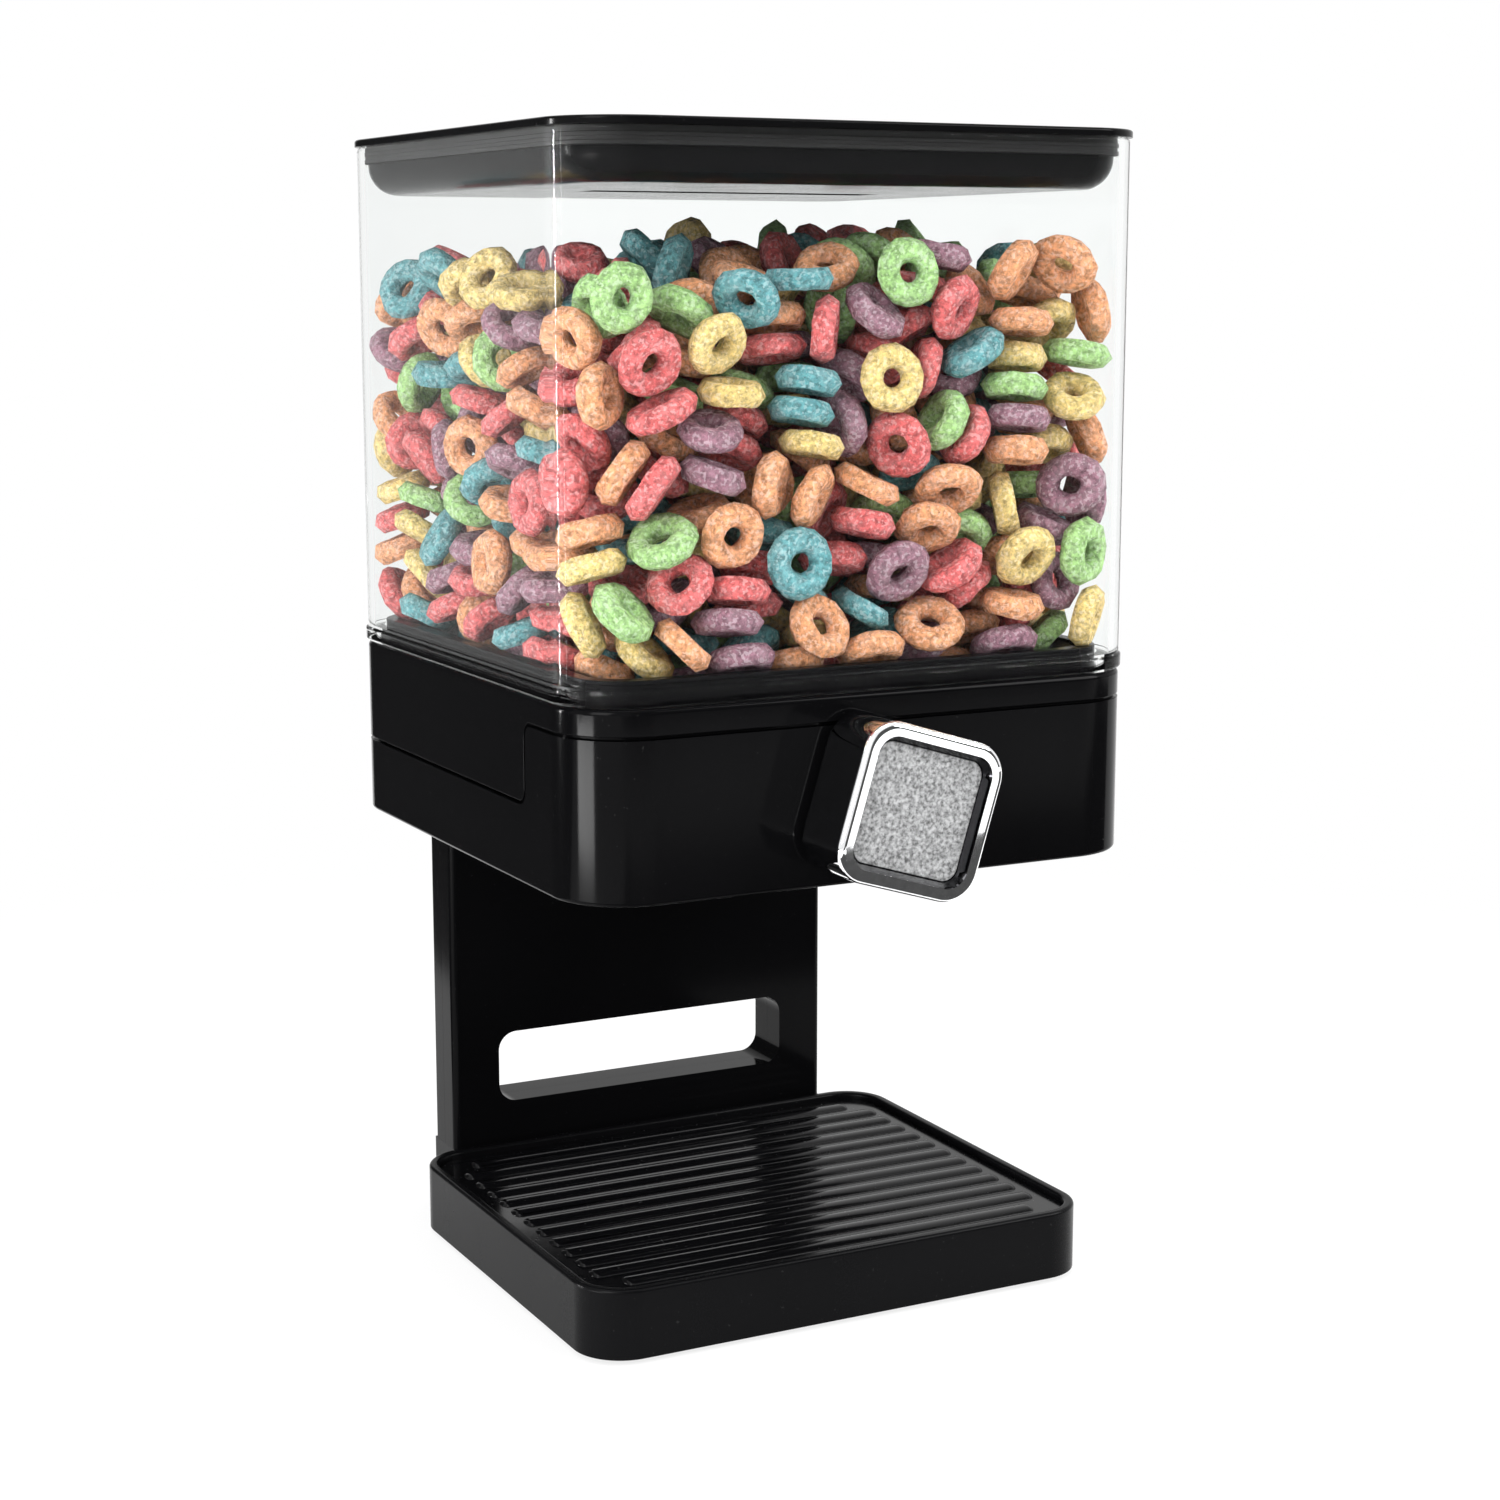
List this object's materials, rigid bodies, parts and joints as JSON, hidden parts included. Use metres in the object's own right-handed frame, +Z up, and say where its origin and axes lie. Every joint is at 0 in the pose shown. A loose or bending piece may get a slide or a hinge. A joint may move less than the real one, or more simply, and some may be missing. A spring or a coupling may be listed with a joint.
{
  "type": "gravity bulk food bin",
  "caption": "Countertop dry food dispenser: clear square canister with a black lid, portion wheel turned by a square front knob, on a slotted column over a ribbed tray base.",
  "frame": {"origin": "bottom centre of the outside box, on the table under the feet", "axes": "+X to the right as seen from the front, +Y to the back, +Z up"},
  "size_m": [0.1664, 0.1907, 0.3134],
  "materials": {
    "black_plastic": "glossy black moulded plastic",
    "grey_plastic": "dark inner mouldings",
    "clear_plastic": "clear polished plastic",
    "chrome": "mirror polished",
    "satin_metal": "fine grained satin silver",
    "rubber": "matt black rubber",
    "seal_rubber": "soft dark seal",
    "blade_silicone": "soft pale grey silicone",
    "shaft_steel": "turned steel",
    "screw_steel": "zinc plated steel"
  },
  "bodies": {
    "stand": {"base_shell": "black_plastic", "foot_front_left": "rubber", "foot_front_right": "rubber", "foot_rear_left": "rubber", "foot_rear_right": "rubber", "column_front": "black_plastic", "column_back": "black_plastic", "column_screws": "screw_steel", "cover_screws": "screw_steel", "housing": "black_plastic", "housing_screws": "screw_steel", "wheel_chamber": "grey_plastic", "chamber_screws": "screw_steel", "chute": "black_plastic", "chute_screws": "screw_steel", "front_bush": "grey_plastic", "chamber_bushes": "grey_plastic", "throat_seal": "seal_rubber"},
    "tray": {"rib_tray": "black_plastic"},
    "hopper": {"collar": "black_plastic", "hopper_tank": "clear_plastic", "hopper_seal": "seal_rubber", "funnel": "grey_plastic", "funnel_screws": "screw_steel"},
    "lid": {"lid_cap": "black_plastic", "lid_seal": "seal_rubber"},
    "knob": {"knob_shell": "chrome", "knob_face": "satin_metal", "knob_core": "grey_plastic", "knob_screw": "screw_steel", "drive_shaft": "shaft_steel", "wheel_hub": "grey_plastic", "wheel_blades": "blade_silicone", "hub_pin": "screw_steel", "shaft_clip": "screw_steel"}
  },
  "joints": [
    {"name": "hopper_lift", "type": "slide", "parent": "stand", "child": "hopper", "axis": [0, 0, 1], "range_m": [0, 0.06]},
    {"name": "lid_lift", "type": "slide", "parent": "hopper", "child": "lid", "axis": [0, 0, 1], "range_m": [0, 0.08]},
    {"name": "tray_lift", "type": "slide", "parent": "stand", "child": "tray", "axis": [0, 0, 1], "range_m": [0, 0.03]},
    {"name": "knob_turn", "type": "hinge", "parent": "stand", "child": "knob", "pos_m": [0, 0.01065, 0.1445], "axis": [0, -1, 0], "continuous": true}
  ]
}
